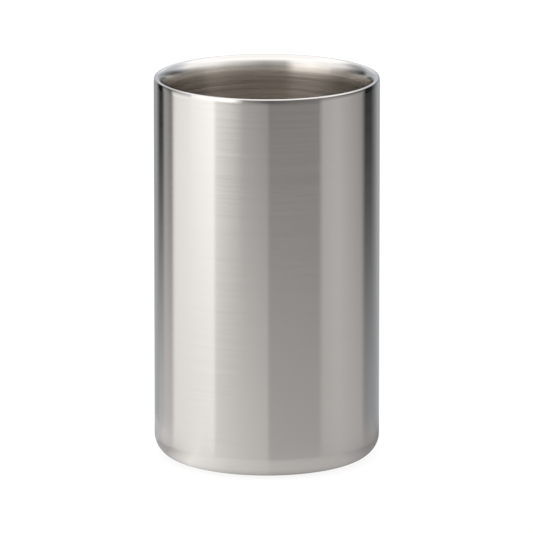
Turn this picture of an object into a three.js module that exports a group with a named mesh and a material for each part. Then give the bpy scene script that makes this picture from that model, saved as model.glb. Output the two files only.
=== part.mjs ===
// A double-walled stainless steel bottle cooler. A drawn liner hangs by its rolled lip inside a drawn
// outer shell, and a ground seam joins the two round the mouth. A welded pan closes the base, with a
// plug in its vent and a soft pad in the shallow well under it.
// Millimetres, +Z up. The origin is the centre of the face that the cooler stands on.
import * as THREE from "three";

// ---- Driving dimensions -------------------------------------------------------------------------
const OUTER_DIAMETER = 120;
const OVERALL_HEIGHT = 206; // from the table to the top of the rim

const SHELL_SHEET = 0.6;
const AIR_GAP = 4.6; // between the two walls
const LINER_SHEET = 0.6;
const PLATE_SHEET = 0.8;

const EDGE_RADIUS = 0.7; // the ground outer corner of the rim
const SHOULDER_RADIUS = 15; // the slight inward curve that leads up to that corner
const SHOULDER_ANGLE = 10; // degrees that the shoulder turns through
const RIM_LAND = 0.4; // the flat top between the ground corner and the liner's roll
const LIP_DEPTH = 11; // how far below the rim the roll meets the liner's straight wall
const HEEL_RADIUS = 11.5; // the shell's lower outer corner
const FLOOR_CORNER_RADIUS = 9; // inside the liner, between wall and floor
const FLOOR_SPACE = 6; // between the base plate and the liner's floor

const PANEL_MARGIN = 7; // from the liner's floor corner to the raised middle of the floor
const PANEL_SLOPE = 3; // the width of the step up to that middle
const PANEL_RISE = 0.8;

const FOOT_WIDTH = 1.8; // the flat ring at the shell's lowest level
const COLLAR_BEND = 1.2; // outside radius of the shell's edge, turned up round the well
const PLATE_DEPTH = 1.6; // from the shell's foot up to the plate's underside
const PLATE_BEND = 1.6; // outside radius of the plate's own turned-up edge
const PLATE_EDGE = 0.8; // the straight part of that edge, level with the collar's top
const PLATE_CLEARANCE = 0.1; // round the plate, inside the collar
const WELD_RISE = 0.5; // the seam stands back this far above the plate's underside

const PAD_PROUD = 0.5; // how far the pad holds the steel off the table
const PAD_CLEARANCE = 3; // between the pad's edge and the collar
const PAD_CHAMFER = 0.4;

const VENT_DIAMETER = 3;
const PLUG_FLANGE = 1.5; // how far the plug's head reaches past its hole
const PLUG_HEAD_HEIGHT = 1.6;

const TURN_SEGMENTS = 60; // facets round the axis, the same on every piece so that faces meet
const ARC_STEP = 18; // degrees between points on a rounded corner

// ---- Places worked out from them ----------------------------------------------------------------
const shellRadius = OUTER_DIAMETER / 2;
const wallDepth = SHELL_SHEET + AIR_GAP + LINER_SHEET;
const boreRadius = shellRadius - wallDepth;
const shoulderTurn = THREE.MathUtils.degToRad(SHOULDER_ANGLE);
const shoulderInset = (SHOULDER_RADIUS - EDGE_RADIUS) * (1 - Math.cos(shoulderTurn));
const shoulderRise = (SHOULDER_RADIUS - EDGE_RADIUS) * Math.sin(shoulderTurn);
const lipEnd = shellRadius - EDGE_RADIUS - shoulderInset; // where the lip meets the rim seam
const lipWidth = lipEnd - RIM_LAND - boreRadius;
const edgeZ = OVERALL_HEIGHT - EDGE_RADIUS; // the level of the ground corner's centre
const shellTop = edgeZ - shoulderRise;
const footZ = PAD_PROUD;
const collarRadius = shellRadius - HEEL_RADIUS - FOOT_WIDTH - COLLAR_BEND;
const plateZ = footZ + PLATE_DEPTH;
const plateTop = plateZ + PLATE_SHEET;
const plateRadius = collarRadius - PLATE_CLEARANCE;
const plateBendCentre = [plateRadius - PLATE_BEND, plateZ + PLATE_BEND];
const collarTop = plateZ + PLATE_BEND + PLATE_EDGE;
const floorZ = plateTop + FLOOR_SPACE + LINER_SHEET;
const panelRadius = boreRadius - FLOOR_CORNER_RADIUS - PANEL_MARGIN;
const padRadius = collarRadius - PAD_CLEARANCE;
const ventRadius = VENT_DIAMETER / 2;

// ---- Materials ----------------------------------------------------------------------------------
const steel = (color, roughness) => new THREE.MeshStandardMaterial({ color, roughness, metalness: 1 });
const rubber = (color, roughness) => new THREE.MeshStandardMaterial({ color, roughness, metalness: 0 });
const satinSteel = steel(0xc4c0ba, 0.34);
const linerSteel = steel(0xb5afa6, 0.38);
const groundSteel = steel(0xd2cfca, 0.2);
const plainSteel = steel(0xa9a7a4, 0.45);
const blackRubber = rubber(0x1f1f20, 0.9);
const greySilicone = rubber(0x8d8f90, 0.6);

// ---- Helpers ------------------------------------------------------------------------------------
const at = (r, z) => new THREE.Vector2(r, z);

// Points of a round corner about (r, z), from one angle to another in degrees, both ends included.
// An oval corner has a height of its own.
function corner(r, z, radius, from, to, height = radius) {
  const steps = Math.ceil(Math.abs(to - from) / ARC_STEP);
  return Array.from({ length: steps + 1 }, (_, i) => {
    const angle = THREE.MathUtils.degToRad(from + ((to - from) * i) / steps);
    return at(r + radius * Math.cos(angle), z + height * Math.sin(angle));
  });
}

// A piece turned about +Z from a section of (radius, height) points that runs anticlockwise.
// A section that doesn't start and end on the axis is closed on itself, and makes a ring.
function turned(name, section, material) {
  const onAxis = section[0].x === 0 && section.at(-1).x === 0;
  const points = onAxis ? section : [...section, section[0]];
  const geometry = new THREE.LatheGeometry(points, TURN_SEGMENTS);
  geometry.rotateX(Math.PI / 2); // the lathe turns about +Y
  const mesh = new THREE.Mesh(geometry, material);
  mesh.name = name;
  return mesh;
}

// ---- The outer shell: straight wall, rounded heel, flat foot and turned-up collar -----------------
function outerShell() {
  const heelCentre = [shellRadius - HEEL_RADIUS, footZ + HEEL_RADIUS];
  const bendCentre = [collarRadius + COLLAR_BEND, footZ + COLLAR_BEND];
  return turned(
    "outer_shell",
    [
      at(collarRadius, collarTop),
      ...corner(...bendCentre, COLLAR_BEND, 180, 270),
      ...corner(...heelCentre, HEEL_RADIUS, 270, 360),
      at(shellRadius, shellTop),
      at(shellRadius - SHELL_SHEET, shellTop),
      ...corner(...heelCentre, HEEL_RADIUS - SHELL_SHEET, 360, 270),
      ...corner(...bendCentre, COLLAR_BEND - SHELL_SHEET, 270, 180),
      at(collarRadius + SHELL_SHEET, collarTop),
    ],
    satinSteel,
  );
}

// ---- The liner: rolled lip, straight wall, rounded corner and a floor with a raised middle ---------
function innerLiner() {
  const lipCentre = [boreRadius + lipWidth, OVERALL_HEIGHT - LIP_DEPTH];
  const cornerCentre = [boreRadius - FLOOR_CORNER_RADIUS, floorZ + FLOOR_CORNER_RADIUS];
  const panelTop = floorZ + PANEL_RISE;
  return turned(
    "inner_liner",
    [
      at(0, panelTop - LINER_SHEET),
      at(panelRadius - PANEL_SLOPE, panelTop - LINER_SHEET),
      at(panelRadius, floorZ - LINER_SHEET),
      ...corner(...cornerCentre, FLOOR_CORNER_RADIUS + LINER_SHEET, 270, 360),
      ...corner(...lipCentre, lipWidth - LINER_SHEET, 180, 90, LIP_DEPTH - LINER_SHEET),
      at(lipEnd, OVERALL_HEIGHT - LINER_SHEET),
      at(lipEnd, OVERALL_HEIGHT),
      ...corner(...lipCentre, lipWidth, 90, 180, LIP_DEPTH),
      ...corner(...cornerCentre, FLOOR_CORNER_RADIUS, 360, 270),
      at(panelRadius, floorZ),
      at(panelRadius - PANEL_SLOPE, panelTop),
      at(0, panelTop),
    ],
    linerSteel,
  );
}

// ---- The seam between shell and lip, ground to a shoulder and a round edge ----------------------------
function rimWeld() {
  const shoulder = corner(shellRadius - SHOULDER_RADIUS, shellTop, SHOULDER_RADIUS, 0, SHOULDER_ANGLE);
  const [, ...edge] = corner(lipEnd, edgeZ, EDGE_RADIUS, SHOULDER_ANGLE, 90);
  return turned(
    "rim_weld",
    [
      at(shellRadius - SHELL_SHEET, shellTop),
      ...shoulder,
      ...edge,
      at(lipEnd, OVERALL_HEIGHT - LINER_SHEET),
    ],
    groundSteel,
  );
}

// ---- The base plate: a shallow pan, edge up, inside the shell's collar ------------------------------
function basePlate() {
  return turned(
    "base_plate",
    [
      at(ventRadius, plateZ),
      ...corner(...plateBendCentre, PLATE_BEND, 270, 360),
      at(plateRadius, collarTop),
      at(plateRadius - PLATE_SHEET, collarTop),
      ...corner(...plateBendCentre, PLATE_BEND - PLATE_SHEET, 360, 270),
      at(ventRadius, plateTop),
    ],
    plainSteel,
  );
}

// ---- The seam that fills the groove between the collar and the plate's bend -------------------------
function baseWeld() {
  const [, ...bend] = corner(...plateBendCentre, PLATE_BEND, 270, 360);
  return turned(
    "base_weld",
    [
      ...bend.reverse(),
      at(collarRadius, plateZ + WELD_RISE),
      at(collarRadius, plateZ + PLATE_BEND),
    ],
    groundSteel,
  );
}

// ---- The plug in the vent through which the air gap breathes while the seams are welded --------------
function ventPlug() {
  const headRadius = ventRadius + PLUG_FLANGE;
  return turned(
    "vent_plug",
    [
      at(0, plateZ),
      at(ventRadius, plateZ),
      at(ventRadius, plateTop),
      at(headRadius, plateTop),
      at(headRadius, plateTop + PLUG_HEAD_HEIGHT / 2),
      at(ventRadius, plateTop + PLUG_HEAD_HEIGHT),
      at(0, plateTop + PLUG_HEAD_HEIGHT),
    ],
    greySilicone,
  );
}

// ---- The soft pad that the cooler stands on, stuck to the plate --------------------------------------
function basePad() {
  return turned(
    "base_pad",
    [
      at(0, 0),
      at(padRadius - PAD_CHAMFER, 0),
      at(padRadius, PAD_CHAMFER),
      at(padRadius, plateZ),
      at(0, plateZ),
    ],
    blackRubber,
  );
}

const cooler = new THREE.Group();
cooler.add(outerShell(), innerLiner(), rimWeld(), basePlate(), baseWeld(), ventPlug(), basePad());

export default cooler;
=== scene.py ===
# %% [markdown]
# # A double-walled steel bottle cooler
# The real object is a welded vessel of drawn stainless steel. It has an outer shell, a liner whose mouth
# rolls outwards into the rim, a ground seam that joins the two, and a base pan in a shallow well.
# Every piece is round about the same axis. The CAD nodes are faceted, with sixty flats, and a brushed
# finish shows every flat as a stripe. So each node is hidden here, and a smooth surface of the same
# section stands in its place.

# %% Load the frame
import math

import bpy
import numpy as np
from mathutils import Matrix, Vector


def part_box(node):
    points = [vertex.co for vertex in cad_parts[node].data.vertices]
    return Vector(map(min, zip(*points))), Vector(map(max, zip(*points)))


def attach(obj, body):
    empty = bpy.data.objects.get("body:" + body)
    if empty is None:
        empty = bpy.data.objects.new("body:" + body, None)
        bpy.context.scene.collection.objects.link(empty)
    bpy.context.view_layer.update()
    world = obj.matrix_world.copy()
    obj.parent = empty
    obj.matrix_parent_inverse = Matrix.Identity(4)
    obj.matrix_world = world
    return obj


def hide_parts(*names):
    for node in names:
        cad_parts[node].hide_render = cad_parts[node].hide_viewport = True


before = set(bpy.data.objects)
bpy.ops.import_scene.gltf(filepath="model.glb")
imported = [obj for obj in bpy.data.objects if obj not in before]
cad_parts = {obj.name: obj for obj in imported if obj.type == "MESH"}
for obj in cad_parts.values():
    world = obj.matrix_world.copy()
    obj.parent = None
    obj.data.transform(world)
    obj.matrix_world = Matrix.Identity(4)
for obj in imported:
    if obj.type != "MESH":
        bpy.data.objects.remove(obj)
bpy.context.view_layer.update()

# %% [markdown]
# ## Sizes read from the frame
# Radii and levels come from the boxes of the CAD nodes, so a new size carries through to every surface.
# A box says nothing about the bore, so that is read from the liner's own points: of those in its upper
# half, the ones nearest the axis lie on the bore. What no box shows, such as the thickness of a sheet
# or the radius of a bend, is written here in millimetres.

# %% Radii, levels and bends
MM = 0.001
SHEET = 0.6 * MM  # shell and liner
PLATE = 0.8 * MM
HEEL = 11.5 * MM  # the shell's lower outer corner
COLLAR_BEND = 1.2 * MM
PLATE_BEND = 1.6 * MM
FLOOR_CORNER = 9 * MM
LIP_DEPTH = 11 * MM  # how far down the roll of the lip reaches
RIM_LAND = 0.4 * MM  # the flat top between the seam's round edge and the roll
EDGE = 0.7 * MM  # the seam's round outer edge
SHOULDER = 15 * MM  # the slight inward curve that leads up to that edge
SHOULDER_ANGLE = 10  # degrees
PANEL_MARGIN = 7 * MM
PANEL_SLOPE = 3 * MM
PANEL_RISE = 0.8 * MM
WELD_RISE = 0.5 * MM


def levels(node):
    """The lowest level, the highest level and the outer radius of a CAD node, in metres."""
    low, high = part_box(node)
    return low.z, high.z, high.x


def radii(node):
    """The heights of a CAD node's points, and their distances from the axis, as two arrays."""
    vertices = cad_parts[node].data.vertices
    flat = np.empty(len(vertices) * 3)
    vertices.foreach_get("co", flat)
    x, y, z = flat.reshape(-1, 3).T
    return z, np.hypot(x, y)


foot, shell_top, outer_radius = levels("outer_shell")
liner_low, rim_top, lip_end = levels("inner_liner")
plate_low, collar_top, plate_radius = levels("base_plate")
pad_low, pad_top, pad_radius = levels("base_pad")
weld_low, weld_high, collar_radius = levels("base_weld")
plug_low, plug_top, plug_radius = levels("vent_plug")

heights, distances = radii("inner_liner")
bore_radius = distances[heights > rim_top / 2].min()
vent_radius = radii("base_plate")[1].min()
lip_width = lip_end - RIM_LAND - bore_radius
floor_level = liner_low + SHEET
plate_high = plate_low + PLATE
print(f"bore {2 * bore_radius / MM:.2f} mm, lip {lip_width / MM:.2f} mm wide")

# %% [markdown]
# ## Sections
# A section is drawn in the plane of radius and height as a list of strokes, each a straight line or an
# arc. Strokes run anticlockwise, so the metal is on their left and the outside on their right. A Screw
# modifier could turn them, but it averages the shading normals over each corner, and polished metal
# shows that as a smear. So every stroke carries its own exact normals: the reflection runs unbroken
# where a roll meets a wall, and a cut edge stays crisp.

# %% Strokes of a section
ARC_STEP = math.radians(4)
LINE_STEP = 3 * MM
HIDDEN_STEP = 20 * MM  # for straight walls that only the gap between shell and liner sees


def line(start, end, step=LINE_STEP):
    """Rows (radius, height, normal's radius part, normal's height part) along a straight stroke.

    The points are start + t (end - start), for t from 0 to 1, and the normal is the stroke's
    direction turned a quarter clockwise.
    """
    start, end = np.array(start), np.array(end)
    length = np.linalg.norm(end - start)
    share = np.linspace(0, 1, int(length / step) + 2)[:, None]
    along_r, along_z = (end - start) / length
    return np.hstack([start + share * (end - start), np.broadcast_to([along_z, -along_r], (len(share), 2))])


def arc(centre, radius, first, last):
    """Rows as line() gives them, along an arc between two angles in degrees.

    The points are centre + (p cos a, q sin a), where p and q are both the radius, or the half width
    and half height of an ellipse. The normal is (q cos a, p sin a) at unit length where the arc runs
    anticlockwise, and the opposite where it runs clockwise.
    """
    first, last = math.radians(first), math.radians(last)
    angle = np.linspace(first, last, int(abs(last - first) / ARC_STEP) + 3)
    spoke = np.stack([np.cos(angle), np.sin(angle)], axis=1)
    reach = np.broadcast_to(radius, 2)
    normal = spoke * reach[::-1]
    normal /= np.linalg.norm(normal, axis=1, keepdims=True)
    return np.hstack([np.array(centre) + reach * spoke, math.copysign(1, last - first) * normal])


# %% [markdown]
# ## Carrying a section round the axis
# Each stroke becomes a grid with one row for each of its points and one column for each step round the
# axis, and the whole grid is worked out at once. A relief can lift the surface along its normal, which
# the weld's ripples and the faint waviness of spun metal need. Rows that lie on the axis are drawn
# together into a single point, so the floor and the pad have no hole in the middle.

# %% Surfaces of revolution
TURNS = 384
TINY = 1e-7
UP = np.array([0.0, 0.0, 1.0])


def carried_round(stroke, turns, relief):
    """A stroke's points and normals all round the axis, each an array of (along, turns, 3).

    A point (r, z) goes to (r cos a, r sin a, z), and its normal (u, w) to (u cos a, u sin a, w). The
    relief h lifts a point p to p + h n, and tips its normal to n - (dh/dt) t - (dh/ds) s, where t is
    the direction round the axis and s the direction along the stroke.
    """
    angle = np.arange(turns) * 2 * math.pi / turns
    outward = np.stack([np.cos(angle), np.sin(angle), 0 * angle], axis=1)
    around = np.stack([-np.sin(angle), np.cos(angle), 0 * angle], axis=1)
    r, z, u, w = [column[:, None, None] for column in stroke.T]
    points, normals = r * outward + z * UP, u * outward + w * UP
    if relief is None:
        return points, normals
    height = relief(angle[None, :], r[..., 0], z[..., 0])
    distance = np.cumsum(np.hypot(*np.diff(stroke[:, :2], axis=0, prepend=stroke[:1, :2]).T))
    rise_round = (np.roll(height, -1, axis=1) - np.roll(height, 1, axis=1)) / (4 * math.pi / turns)
    rise_along = np.gradient(height, distance, axis=0)
    along = u * UP - w * outward
    rise_round /= np.maximum(r[..., 0], TINY)
    tipped = normals - rise_round[..., None] * around - rise_along[..., None] * along
    return points + height[..., None] * normals, tipped / np.linalg.norm(tipped, axis=2, keepdims=True)


def turned(name, strokes, turns=TURNS, relief=None):
    """A closed mesh made by carrying strokes round the axis, with each stroke's own normals.

    Each stroke ends on the point where the next one starts, so its last row is left out, except the
    last of all where the section ends on the axis.
    """
    grids = [carried_round(stroke, turns, relief) for stroke in strokes]
    ends_on_axis = bool(abs(strokes[-1][-1, 0]) < TINY)
    rows = np.concatenate([points[:-1] for points, _ in grids] + [grids[-1][0][-1:]] * ends_on_axis)
    low_normals = np.concatenate([normals[:-1] for _, normals in grids])
    high_normals = np.concatenate([normals[1:] for _, normals in grids])
    low = np.arange(len(low_normals))
    high = (low + 1) % len(rows)
    pole = np.hypot(rows[:, 0, 0], rows[:, 0, 1]) < TINY
    kept = np.ones(rows.shape[:2], bool)
    kept[pole, 1:] = False
    number = (np.cumsum(kept) - 1).reshape(kept.shape)
    after = np.roll(np.arange(turns), -1)
    corners = np.stack([number[low], number[low][:, after], number[high][:, after], number[high]], axis=2)
    shading = np.stack([low_normals, low_normals[:, after], high_normals[:, after], high_normals], axis=2)
    kinds = [(~pole[low] & ~pole[high], [0, 1, 2, 3]), (pole[low], [0, 2, 3]), (pole[high], [0, 1, 2])]
    faces = sum((corners[which][..., use].reshape(-1, len(use)).tolist() for which, use in kinds), [])
    loop_normals = np.concatenate([shading[which][:, :, use].reshape(-1, 3) for which, use in kinds])
    mesh = bpy.data.meshes.new(name)
    mesh.from_pydata(rows[kept].tolist(), [], faces)
    mesh.polygons.foreach_set("use_smooth", np.ones(len(faces), bool))
    mesh.normals_split_custom_set(loop_normals.tolist())
    piece = bpy.data.objects.new(name, mesh)
    bpy.context.scene.collection.objects.link(piece)
    print(f"{name}: {len(mesh.vertices)} points, {len(faces)} faces")
    return piece


def stand_in(piece, node, material):
    """Puts a piece in the place of a CAD node, with its body and its finish."""
    piece.data.materials.append(material)
    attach(piece, "root")
    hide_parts(node)


# %% [markdown]
# ## Node helpers
# Materials are trees of nodes. These helpers keep them short to read: add() makes a node and fills its
# inputs, maths() is one step of arithmetic, between() follows a value smoothly from one level to
# another, and blend() mixes two colours. An input that is given a socket is linked to it, and an input
# that is given a number or a colour is set to it.

# %% Adding nodes
def put(tree, value, socket):
    """Links a socket to an input, or sets the input to a number or a colour."""
    if isinstance(value, bpy.types.NodeSocket):
        tree.links.new(value, socket)
    else:
        socket.default_value = value


def add(tree, kind, inputs=None, **settings):
    """Adds a node, sets its settings, and fills the inputs that a dictionary names."""
    made = tree.nodes.new(kind)
    for name, value in settings.items():
        setattr(made, name, value)
    for name, value in (inputs or {}).items():
        put(tree, value, made.inputs[name])
    return made


def maths(tree, operation, *values):
    """One step of arithmetic on sockets and numbers."""
    return add(tree, "ShaderNodeMath", dict(enumerate(values)), operation=operation).outputs[0]


def between(tree, value, low, high, out_low=0.0, out_high=1.0):
    """Goes smoothly from out_low, where the value is low, to out_high, where it is high."""
    inputs = dict(enumerate((value, low, high, out_low, out_high)))
    return add(tree, "ShaderNodeMapRange", inputs, interpolation_type="SMOOTHSTEP").outputs["Result"]


def blend(tree, factor, first, second):
    """The first colour where the factor is 0, and the second where it is 1."""
    return add(tree, "ShaderNodeMix", {0: factor, 6: first, 7: second}, data_type="RGBA").outputs[2]


# %% [markdown]
# ## Brushed steel
# The shell was brushed while it turned on a lathe, and the liner was spun, so both carry fine lines
# that run round the axis. Most of them are too fine to see one by one. What shows is that a reflection
# smears up and down and stays sharp from side to side. A rough but even surface can't do that, so the
# shader is anisotropic, and its tangent follows the lines: at a point (x, y) it is (-y, x, 0).
# The lines that can be seen are noise stretched round the axis. It is read at (x / r, y / r, z + r):
# the first two change only with the angle, and the third grows along every wall, roll and floor of
# this vessel. The lines vary the colour and the roughness a little, and tip the surface.

# %% Steel
STEEL = (0.685, 0.655, 0.625)
POLISHED = 0.11  # the roughness of the ground and polished rim
BROAD_LINES = (2.4, 1.3 * MM)  # length in radians and width
FINE_LINES = (1.4, 0.7 * MM)
MIDDLE = (0.3, 0.7)  # the range that the noise keeps to, nearly everywhere
LINE_ROUGHNESS = 0.02  # how much the lines vary the roughness, either way
HANDLING = 0.006  # how much wiping and handling vary it
HANDLED_SCALE = 14.0  # patches of about 7 cm
PATCHES = (0.35, 0.65)  # the range of the patchy noise that the handling answers to


def around_axis(tree):
    """The place, the angle's cosine and sine, the radius and the height of the point being shaded."""
    place = add(tree, "ShaderNodeTexCoord").outputs["Object"]
    x, y, z = add(tree, "ShaderNodeSeparateXYZ", {0: place}).outputs
    squares = maths(tree, "ADD", maths(tree, "MULTIPLY", x, x), maths(tree, "MULTIPLY", y, y))
    r = maths(tree, "MAXIMUM", maths(tree, "SQRT", squares), 0.01 * MM)
    return place, maths(tree, "DIVIDE", x, r), maths(tree, "DIVIDE", y, r), r, z


def streaks(tree, cosine, sine, along, length, width, seed):
    """Noise stretched round the axis, in streaks of about this length in radians and width in metres."""
    vector = add(tree, "ShaderNodeCombineXYZ", {
        "X": maths(tree, "DIVIDE", cosine, length),
        "Y": maths(tree, "DIVIDE", sine, length),
        "Z": maths(tree, "DIVIDE", along, width),
    }).outputs[0]
    inputs = {"Vector": vector, "W": seed, "Scale": 1.0, "Detail": 2.0, "Roughness": 0.7}
    return add(tree, "ShaderNodeTexNoise", inputs, noise_dimensions="4D").outputs["Fac"]


def steel(name, colour, roughness, depth, tint, seed=0.0, polish=None, lip_colour=STEEL):
    """Steel with lines round the axis, this deep in metres and this strong in colour.

    polish is two heights: from the first to the second, the brushing gives way to a polished lip.
    """
    material = bpy.data.materials.new(name)
    material.use_nodes = True
    tree = material.node_tree
    shader = tree.nodes["Principled BSDF"]
    place, cosine, sine, r, z = around_axis(tree)
    along = maths(tree, "ADD", z, r)
    broad = streaks(tree, cosine, sine, along, *BROAD_LINES, seed)
    fine = streaks(tree, cosine, sine, along, *FINE_LINES, seed + 7)
    lines = maths(tree, "MULTIPLY_ADD", broad, 0.5, maths(tree, "MULTIPLY", fine, 0.5))
    shine = between(tree, z, *polish) if polish else 0.0
    worked = maths(tree, "SUBTRACT", 1.0, shine)

    dark, light = [[c * (1 + side * tint) for c in colour] + [1] for side in (-1, 1)]
    brushed_colour = blend(tree, between(tree, lines, *MIDDLE), dark, light)
    # Where a polish range is given, the colour goes to lip_colour; on the liner this fades out its painted
    # shade.
    put(tree, blend(tree, shine, brushed_colour, [*lip_colour, 1]), shader.inputs["Base Color"])

    wiping = {"Vector": place, "Scale": HANDLED_SCALE, "Detail": 2.0}
    handled = add(tree, "ShaderNodeTexNoise", wiping).outputs["Fac"]
    uneven = maths(tree, "ADD", between(tree, handled, *PATCHES, -HANDLING, HANDLING),
                   between(tree, lines, *MIDDLE, -LINE_ROUGHNESS, LINE_ROUGHNESS))
    level = maths(tree, "MULTIPLY_ADD", worked, roughness - POLISHED, POLISHED)
    put(tree, maths(tree, "MULTIPLY_ADD", uneven, worked, level), shader.inputs["Roughness"])

    bump = add(tree, "ShaderNodeBump", {"Height": lines, "Distance": depth, "Strength": worked})
    put(tree, bump.outputs[0], shader.inputs["Normal"])
    tangent = add(tree, "ShaderNodeCombineXYZ", {"X": maths(tree, "MULTIPLY", sine, -1), "Y": cosine})
    put(tree, tangent.outputs[0], shader.inputs["Tangent"])
    shader.inputs["Metallic"].default_value = 1.0
    shader.inputs["Anisotropic"].default_value = 1.0
    shader.inputs["Anisotropic Rotation"].default_value = 0.25
    return material


# %% [markdown]
# ## The outer shell
# A deep cup drawn from 0.6 mm sheet: a straight wall, a rounded heel, a narrow flat foot, and an edge
# turned up inside as a collar for the base pan. The well that the collar makes keeps the welded seam
# off the table. The wall's outside is what one sees most, so its lines are shallow and its colour even.

# %% Outer shell
heel_centre = (outer_radius - HEEL, foot + HEEL)
bend_centre = (collar_radius + COLLAR_BEND, foot + COLLAR_BEND)
inner_face = outer_radius - SHEET
shell = turned("shell", [
    line((collar_radius, collar_top), (collar_radius, bend_centre[1])),
    arc(bend_centre, COLLAR_BEND, 180, 270),
    line((bend_centre[0], foot), (heel_centre[0], foot)),
    arc(heel_centre, HEEL, 270, 360),
    line((outer_radius, heel_centre[1]), (outer_radius, shell_top)),
    line((outer_radius, shell_top), (inner_face, shell_top)),
    line((inner_face, shell_top), (inner_face, heel_centre[1]), HIDDEN_STEP),
    arc(heel_centre, HEEL - SHEET, 360, 270),
    line((heel_centre[0], foot + SHEET), (bend_centre[0], foot + SHEET)),
    arc(bend_centre, COLLAR_BEND - SHEET, 270, 180),
    line((collar_radius + SHEET, bend_centre[1]), (collar_radius + SHEET, collar_top)),
    line((collar_radius + SHEET, collar_top), (collar_radius, collar_top)),
])
satin_steel = steel("satin_steel", STEEL, roughness=0.17, depth=0.002 * MM, tint=0.014)
stand_in(shell, "outer_shell", satin_steel)

# %% [markdown]
# ## The liner
# A cup that is spun over a form, so its wall and floor keep clearer rings than the shell's outside.
# Its mouth is rolled outwards through a quarter turn, and the upper part of that roll is polished,
# because it is what the hand and the bottle touch. Its floor has a step up to a raised middle, which
# keeps a thin sheet from drumming. Light bounces many times inside, and each bounce takes a little
# more of the blue, so the inside looks warmer and darker than the same steel outside. That warmer,
# darker look is also painted into the liner's colour as shade, which gives way to the lip's own colour.

# %% Liner
# The liner's colour is darker and warmer than STEEL: painted shade for the light lost between bounces
# inside.
LINER_STEEL_WITH_PAINTED_SHADE = (0.62, 0.57, 0.51)
LIP_STEEL = (0.71, 0.69, 0.665)
lip_centre = (bore_radius + lip_width, rim_top - LIP_DEPTH)
corner_centre = (bore_radius - FLOOR_CORNER, floor_level + FLOOR_CORNER)
panel_edge = corner_centre[0] - PANEL_MARGIN
panel_flat = panel_edge - PANEL_SLOPE
panel_level = floor_level + PANEL_RISE
liner = turned("liner", [
    line((0, panel_level - SHEET), (panel_flat, panel_level - SHEET)),
    line((panel_flat, panel_level - SHEET), (panel_edge, floor_level - SHEET)),
    line((panel_edge, floor_level - SHEET), (corner_centre[0], floor_level - SHEET)),
    arc(corner_centre, FLOOR_CORNER + SHEET, 270, 360),
    line((bore_radius + SHEET, corner_centre[1]), (bore_radius + SHEET, lip_centre[1]), HIDDEN_STEP),
    arc(lip_centre, (lip_width - SHEET, LIP_DEPTH - SHEET), 180, 90),
    line((lip_centre[0], rim_top - SHEET), (lip_end, rim_top - SHEET)),
    line((lip_end, rim_top - SHEET), (lip_end, rim_top)),
    line((lip_end, rim_top), (lip_centre[0], rim_top)),
    arc(lip_centre, (lip_width, LIP_DEPTH), 90, 180),
    line((bore_radius, lip_centre[1]), (bore_radius, corner_centre[1])),
    arc(corner_centre, FLOOR_CORNER, 360, 270),
    line((corner_centre[0], floor_level), (panel_edge, floor_level)),
    line((panel_edge, floor_level), (panel_flat, panel_level)),
    line((panel_flat, panel_level), (0, panel_level)),
])
# Up this range the liner's painted shade fades into the lip's own colour, and its brushing into polish.
polish = (rim_top - 0.65 * LIP_DEPTH, rim_top - 0.15 * LIP_DEPTH)
liner_steel = steel("liner_steel", LINER_STEEL_WITH_PAINTED_SHADE, roughness=0.22, depth=0.01 * MM, tint=0.155, seed=3,
                    polish=polish, lip_colour=LIP_STEEL)
stand_in(liner, "inner_liner", liner_steel)

# %% [markdown]
# ## The rim's seam
# Shell and liner are welded together under the rim's outer corner. The bead is ground flush, which
# leaves a slight shoulder and a small round edge, and then polished with the lip. It is a ring with
# its own section, so that its edge can be sharper than the sheets' bends.

# %% Rim seam
edge_centre = (lip_end, rim_top - EDGE)
shoulder_centre = (outer_radius - SHOULDER, shell_top)
rim_seam = turned("rim_seam", [
    line((inner_face, shell_top), (outer_radius, shell_top)),
    arc(shoulder_centre, SHOULDER, 0, SHOULDER_ANGLE),
    arc(edge_centre, EDGE, SHOULDER_ANGLE, 90),
    line((lip_end, rim_top), (lip_end, rim_top - SHEET)),
    line((lip_end, rim_top - SHEET), (inner_face, shell_top)),
])
ground_steel = steel("ground_steel", STEEL, roughness=POLISHED, depth=0.001 * MM, tint=0.01, seed=5)
stand_in(rim_seam, "rim_weld", ground_steel)

# %% [markdown]
# ## The base pan
# A disc with its edge turned up, pressed into the collar from below. Its middle has the small hole
# through which the gap breathes while the seams are welded. It is left as rolled, so its lines are
# deeper and duller than those of the shell.

# %% Base pan
pan_bend = (plate_radius - PLATE_BEND, plate_low + PLATE_BEND)
pan_inside = plate_radius - PLATE
pan = turned("base_pan", [
    line((vent_radius, plate_low), (pan_bend[0], plate_low)),
    arc(pan_bend, PLATE_BEND, 270, 360),
    line((plate_radius, pan_bend[1]), (plate_radius, collar_top)),
    line((plate_radius, collar_top), (pan_inside, collar_top)),
    line((pan_inside, collar_top), (pan_inside, pan_bend[1])),
    arc(pan_bend, PLATE_BEND - PLATE, 360, 270),
    line((pan_bend[0], plate_high), (vent_radius, plate_high)),
    line((vent_radius, plate_high), (vent_radius, plate_low)),
])
plate_steel = steel("plate_steel", STEEL, roughness=0.4, depth=0.02 * MM, tint=0.05, seed=9)
stand_in(pan, "base_plate", plate_steel)

# %% [markdown]
# ## The base's seam
# This bead is not ground, because the well hides it. A torch laid it down in small overlapping pools,
# and each pool froze with a curved edge, so the bead has fine even ripples all the way round. They are
# a relief on the surface: a row of rounded steps with a sharp hollow between, which fade out at the
# bead's edges. The ring has more points round the axis than the others, six to each ripple.

# %% Base seam
RIPPLE_PITCH = 1.3 * MM
RIPPLE_HEIGHT = 0.07 * MM
POINTS_PER_RIPPLE = 6
BEAD_START = 288  # degrees round the pan's bend
ripples = round(2 * math.pi * collar_radius / RIPPLE_PITCH)
bead_edge = (pan_bend[0] + PLATE_BEND * math.cos(math.radians(BEAD_START)),
             pan_bend[1] + PLATE_BEND * math.sin(math.radians(BEAD_START)))
bead_end = (collar_radius, plate_low + WELD_RISE)


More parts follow.
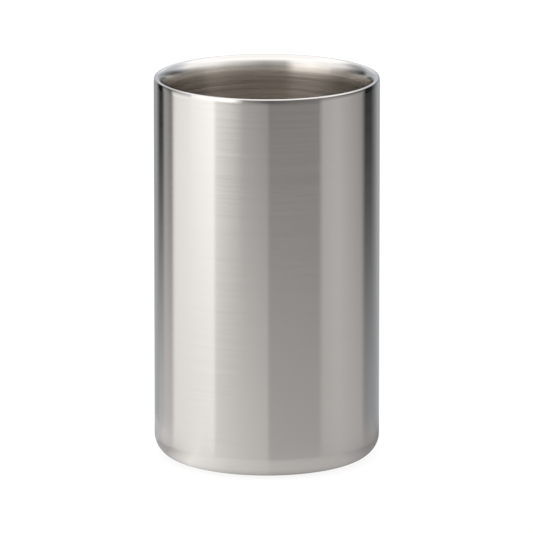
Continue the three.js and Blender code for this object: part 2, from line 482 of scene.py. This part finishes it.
def frozen_pools(angle, r, z):
    """Relief of the bead's face: -height |cos(n a / 2 + lag)|-shaped hollows, nought at its edges.

    Across the bead, t goes from 0 to 1. The hollows are 1 - |sin| of half the ripple's phase, raised
    to a power, the phase lags by t (1 - t) so that each hollow is a curve, and 4 t (1 - t) fades it.
    """
    t = np.clip((r - bead_edge[0]) / (bead_end[0] - bead_edge[0]), 0, 1)
    on_face = np.abs(z - np.interp(r, [bead_edge[0], bead_end[0]], [bead_edge[1], bead_end[1]])) < TINY
    phase = ripples * angle / 2 + 4 * t * (1 - t)
    hollow = (1 - np.abs(np.sin(phase))) ** 2
    return -RIPPLE_HEIGHT * hollow * 4 * t * (1 - t) * on_face


seam = turned("base_seam", [
    arc(pan_bend, PLATE_BEND, 360, BEAD_START),
    line(bead_edge, bead_end, step=0.12 * MM),
    line(bead_end, (collar_radius, weld_high)),
    line((collar_radius, weld_high), (plate_radius, weld_high)),
], turns=ripples * POINTS_PER_RIPPLE, relief=frozen_pools)
weld_steel = steel("weld_steel", (0.62, 0.59, 0.55), roughness=0.3, depth=0.005 * MM, tint=0.06, seed=11)
stand_in(seam, "base_weld", weld_steel)
print(f"{ripples} ripples round the bead")

# %% [markdown]
# ## The plug and the pad
# The vent is closed by a small silicone plug, and a thin disc of black rubber is stuck into the well.
# The rubber is the only thing that touches the table. Both are matt, with a fine grain from the mould
# that varies the colour, the roughness and the surface.

# %% Plug and pad
GRAIN_DEPTH = 0.12 * MM
DUST_SCALE = 90.0  # patches of about a centimetre


def rubber(name, colour, grain):
    """Matt rubber with a moulded grain of this size in metres."""
    material = bpy.data.materials.new(name)
    material.use_nodes = True
    tree = material.node_tree
    shader = tree.nodes["Principled BSDF"]
    place = add(tree, "ShaderNodeTexCoord").outputs["Object"]
    pebbles = add(tree, "ShaderNodeTexVoronoi", {"Vector": place, "Scale": 1 / grain},
                  feature="SMOOTH_F1").outputs["Distance"]
    specks = {"Vector": place, "Scale": DUST_SCALE, "Detail": 5.0}
    dust = add(tree, "ShaderNodeTexNoise", specks).outputs["Fac"]
    dark, light = [[side * c for c in colour] + [1] for side in (0.75, 1.5)]
    put(tree, blend(tree, between(tree, dust, 0.35, 0.7), dark, light), shader.inputs["Base Color"])
    put(tree, between(tree, dust, 0.3, 0.7, 0.62, 0.85), shader.inputs["Roughness"])
    bump = add(tree, "ShaderNodeBump", {"Height": pebbles, "Distance": GRAIN_DEPTH, "Strength": 0.7})
    put(tree, bump.outputs[0], shader.inputs["Normal"])
    return material


head_level = (plate_high + plug_top) / 2
plug = turned("plug", [
    line((0, plug_low), (vent_radius, plug_low)),
    line((vent_radius, plug_low), (vent_radius, plate_high)),
    line((vent_radius, plate_high), (plug_radius, plate_high)),
    line((plug_radius, plate_high), (plug_radius, head_level)),
    line((plug_radius, head_level), (vent_radius, plug_top)),
    line((vent_radius, plug_top), (0, plug_top)),
])
stand_in(plug, "vent_plug", rubber("silicone", (0.27, 0.28, 0.28), 0.6 * MM))

PAD_EDGE = 0.4 * MM
pad = turned("pad", [
    line((0, pad_low), (pad_radius - PAD_EDGE, pad_low)),
    arc((pad_radius - PAD_EDGE, pad_low + PAD_EDGE), PAD_EDGE, 270, 360),
    line((pad_radius, pad_low + PAD_EDGE), (pad_radius, pad_top)),
    line((pad_radius, pad_top), (0, pad_top)),
])
stand_in(pad, "base_pad", rubber("pad_rubber", (0.014, 0.014, 0.015), 0.9 * MM))

# %% [markdown]
# ## The table
# The cooler stands on a white table that runs on to the horizon. A table that were seen in the steel
# would put a bright field over the lower half of the wall, and a studio keeps that off with cloths, so
# this one isn't seen in reflections. Most of its white is its own, which keeps the shadow faint.

# %% Rings and the table
RING_STEPS = 128


def ring(name, inner, outer, material):
    """A band between two hoops (radius, height), turned round the axis: (r cos a, r sin a, z)."""
    angle = np.arange(RING_STEPS) * 2 * math.pi / RING_STEPS
    hoops = [np.stack([r * np.cos(angle), r * np.sin(angle), 0 * angle + z], axis=1)
             for r, z in (inner, outer)]
    step, after = np.arange(RING_STEPS), np.roll(np.arange(RING_STEPS), -1)
    faces = np.stack([step, RING_STEPS + step, RING_STEPS + after, after], axis=1)
    mesh = bpy.data.meshes.new(name)
    mesh.from_pydata(np.concatenate(hoops).tolist(), [], faces.tolist())
    mesh.materials.append(material)
    made = bpy.data.objects.new(name, mesh)
    bpy.context.scene.collection.objects.link(made)
    return made


TABLE_LEVEL = -0.1 * MM  # a hair below the pad, so that no two faces lie in one plane
table_paint = bpy.data.materials.new("table_paint")
table_paint.use_nodes = True
for name, value in {
    "Base Color": (0.14, 0.14, 0.14, 1), "Roughness": 0.9, "Specular IOR Level": 0.0,
    "Emission Color": (1, 1, 1, 1), "Emission Strength": 0.88,
}.items():
    table_paint.node_tree.nodes["Principled BSDF"].inputs[name].default_value = value
table = ring("table", (1 * MM, TABLE_LEVEL), (8.0, TABLE_LEVEL), table_paint)
table.visible_glossy = False

# %% [markdown]
# ## The studio that the steel mirrors
# Brushed steel has little colour of its own: nearly all that one sees is what stands round it. So the
# studio is a round tent of softboxes, walls and dark gaps, and each is a panel over a range of azimuth,
# counted from the camera and growing to its right. A cylinder mirrors nearly the full circle, and
# squeezes it into its width, so a panel at azimuth a shows on the wall near the angle a / 2.
# Area lamps could stand there too, but one round surface has no gaps or overlaps to keep in order.
# Each panel has a brightness at its start and its end, at five heights: on the cloth round the foot,
# low down, level with the wall, just above the rim, and high up. Over them is an even white ceiling.

# %% Panels
PANELS = [
    # name, from, to, on the cloth, low down, level, above the rim, high up
    ("back left", -180, -147, (0.50, 0.42), (0.56, 0.49), (0.45, 0.40), (0.60, 0.50), (1.20, 0.60)),
    ("dark gap left", -137, -129, (0.36, 0.36), (0.68, 0.68), (0.01, 0.01), (0.03, 0.03), (0.45, 0.45)),
    ("left flag", -123, -110, (0.42, 0.60), (0.70, 0.75), (0.47, 0.20), (0.08, 0.10), (0.50, 0.85)),
    ("softbox far", -105, -80, (0.45, 0.52), (1.02, 1.04), (1.14, 1.26), (0.15, 0.80), (1.05, 1.30)),
    ("softbox near", -79, -54, (0.50, 1.05), (1.04, 1.06), (1.26, 1.38), (1.30, 2.00), (1.20, 1.45)),
    ("left wall", -51, -34, (1.15, 1.00), (0.82, 0.80), (0.93, 0.60), (2.00, 1.85), (1.45, 1.30)),
    ("camera left", -22, 0, (0.85, 0.72), (0.80, 0.75), (0.48, 0.37), (0.35, 0.12), (0.60, 0.50)),
    ("camera right", 3, 52, (0.66, 0.58), (0.57, 0.52), (0.26, 0.25), (0.12, 0.22), (0.50, 1.05)),
    ("right wall", 57, 74, (0.52, 0.38), (0.58, 0.62), (0.55, 0.63), (0.30, 0.25), (1.20, 1.30)),
    ("right wall far", 75, 109, (0.36, 0.26), (0.62, 0.56), (0.63, 0.38), (0.20, 0.03), (1.30, 1.25)),
    ("dark gap right", 116, 129, (0.25, 0.24), (0.42, 0.44), (0.01, 0.03), (0.01, 0.01), (1.05, 0.80)),
    ("back right", 150, 180, (0.28, 0.50), (0.42, 0.58), (0.46, 0.45), (0.28, 0.60), (0.70, 1.20)),
]
HEIGHTS = ("on the cloth", "low down", "level", "above the rim", "high up")
COOL_PANELS = ("back left", "dark gap left", "dark gap right", "back right")
COOL, PLAIN = (0.94, 0.98, 1.03), (1.0, 1.0, 1.0)
CEILING = 1.5
BRIGHTEST = 2.0  # what white stands for in the ramps


def azimuth_ramp(tree, turn, height):
    """A colour ramp over the full circle, with the panels' brightness at one of the five heights."""
    made = add(tree, "ShaderNodeValToRGB", {"Fac": turn})
    stops = made.color_ramp.elements
    stops.remove(stops[-1])
    for name, *ends, cloth, low, level, above, high in PANELS:
        brightness = (cloth, low, level, above, high)[HEIGHTS.index(height)]
        for azimuth, value in zip(ends, brightness):
            stop = stops[0] if azimuth == PANELS[0][1] else stops.new(azimuth / 360 + 0.5)
            stop.position = azimuth / 360 + 0.5
            tint = COOL if name in COOL_PANELS else PLAIN
            stop.color = [value / BRIGHTEST * channel for channel in tint] + [1]
    return made.outputs["Color"]


def glowing(name, paint):
    """A material that gives off the colour which paint(tree, turn, r, z) works out for each place."""
    material = bpy.data.materials.new(name)
    material.use_nodes = True
    tree = material.node_tree
    tree.nodes.clear()
    _, cosine, sine, r, z = around_axis(tree)
    azimuth = maths(tree, "ARCTAN2", cosine, maths(tree, "MULTIPLY", sine, -1))
    turn = maths(tree, "MULTIPLY_ADD", azimuth, 1 / (2 * math.pi), 0.5)
    light = add(tree, "ShaderNodeEmission", {"Color": paint(tree, turn, r, z), "Strength": BRIGHTEST})
    add(tree, "ShaderNodeOutputMaterial", {"Surface": light.outputs[0]})
    return material


# %% [markdown]
# ## Tent and cloth
# The tent is an open cylinder, wide enough that a reflection hardly depends on where it starts. Going
# up it, one row of brightness gives way smoothly to the next, as the light does on a hung cloth. The
# heel leans over so far that it mirrors the table close to the foot, and a flat ring of cloth stands
# there for it, darker next to the cooler, which shades it. Both light reflections only. The soft light
# on the table, and what one sees behind the cooler, is the plain white world.

# %% Tent and cloth
TENT_RADIUS = 0.7
TENT_LOW, TENT_HIGH = -0.7, 1.3
LOW_TO_LEVEL = (-0.16, 0.05)  # the heights, in metres, where one brightness gives way to the next
LEVEL_TO_ABOVE = (0.12, 0.22)
ABOVE_TO_HIGH = (0.30, 0.50)
HIGH_TO_CEILING = (0.60, 1.00)
CLOTH_LEVEL = 2 * TABLE_LEVEL  # just under the table, which reflections pass through
CLOTH_EDGE = (74 * MM, 115 * MM)  # the radii between which the cloth fades into the tent
FOOT_SHADE = (44 * MM, 60 * MM)  # the radii between which the cloth comes out of the cooler's shade
FOOT_DARK = 0.35


def tent_paint(tree, turn, r, z):
    """The brightness of the panels, from low down to above the rim, and then the ceiling's."""
    low_down, level, above, high_up = [azimuth_ramp(tree, turn, height) for height in HEIGHTS[1:]]
    colour = blend(tree, between(tree, z, *LOW_TO_LEVEL), low_down, level)
    colour = blend(tree, between(tree, z, *LEVEL_TO_ABOVE), colour, above)
    colour = blend(tree, between(tree, z, *ABOVE_TO_HIGH), colour, high_up)
    return blend(tree, between(tree, z, *HIGH_TO_CEILING), colour, [CEILING / BRIGHTEST] * 3 + [1])


def cloth_paint(tree, turn, r, z):
    """The brightness on the cloth, darker towards the middle where the cooler shades it."""
    lit = between(tree, r, *FOOT_SHADE, FOOT_DARK, 1.0)
    colour = blend(tree, lit, (0, 0, 0, 1), azimuth_ramp(tree, turn, "on the cloth"))
    return blend(tree, between(tree, r, *CLOTH_EDGE), colour, azimuth_ramp(tree, turn, "low down"))


tent = ring("tent", (TENT_RADIUS, TENT_LOW), (TENT_RADIUS, TENT_HIGH), glowing("tent_glow", tent_paint))
cloth_hem = (CLOTH_EDGE[1], CLOTH_LEVEL)
cloth = ring("cloth", (1 * MM, CLOTH_LEVEL), cloth_hem, glowing("cloth_glow", cloth_paint))
for part in (tent, cloth):
    part.visible_camera = part.visible_diffuse = part.visible_shadow = part.visible_transmission = False

WORLD_GLOW = 1.35
world = bpy.data.worlds.new("studio")
world.use_nodes = True
world.node_tree.nodes["Background"].inputs["Color"].default_value = (1, 1, 1, 1)
world.node_tree.nodes["Background"].inputs["Strength"].default_value = WORLD_GLOW
bpy.context.scene.world = world

# %% [markdown]
# ## The camera
# A long lens from far off, a little above the rim, so the sides look straight and the mouth is a
# narrow ellipse. It looks at the middle of the cooler, but for a hair's breadth that centres the frame.

# %% Camera
ELEVATION = math.radians(13.08)
DISTANCE = 4.582
LENS = 581.0
AIM = np.array([-0.19 * MM, 0, rim_top / 2 - 0.39 * MM])
lens = bpy.data.cameras.new("camera")
lens.lens = LENS
lens.clip_end = 50
camera = bpy.data.objects.new("camera", lens)
bpy.context.scene.collection.objects.link(camera)
camera.location = AIM + DISTANCE * np.array([0, -math.cos(ELEVATION), math.sin(ELEVATION)])
camera.rotation_euler = (math.pi / 2 - ELEVATION, 0, 0)
bpy.context.scene.camera = camera
bpy.context.scene.view_settings.view_transform = "Standard"
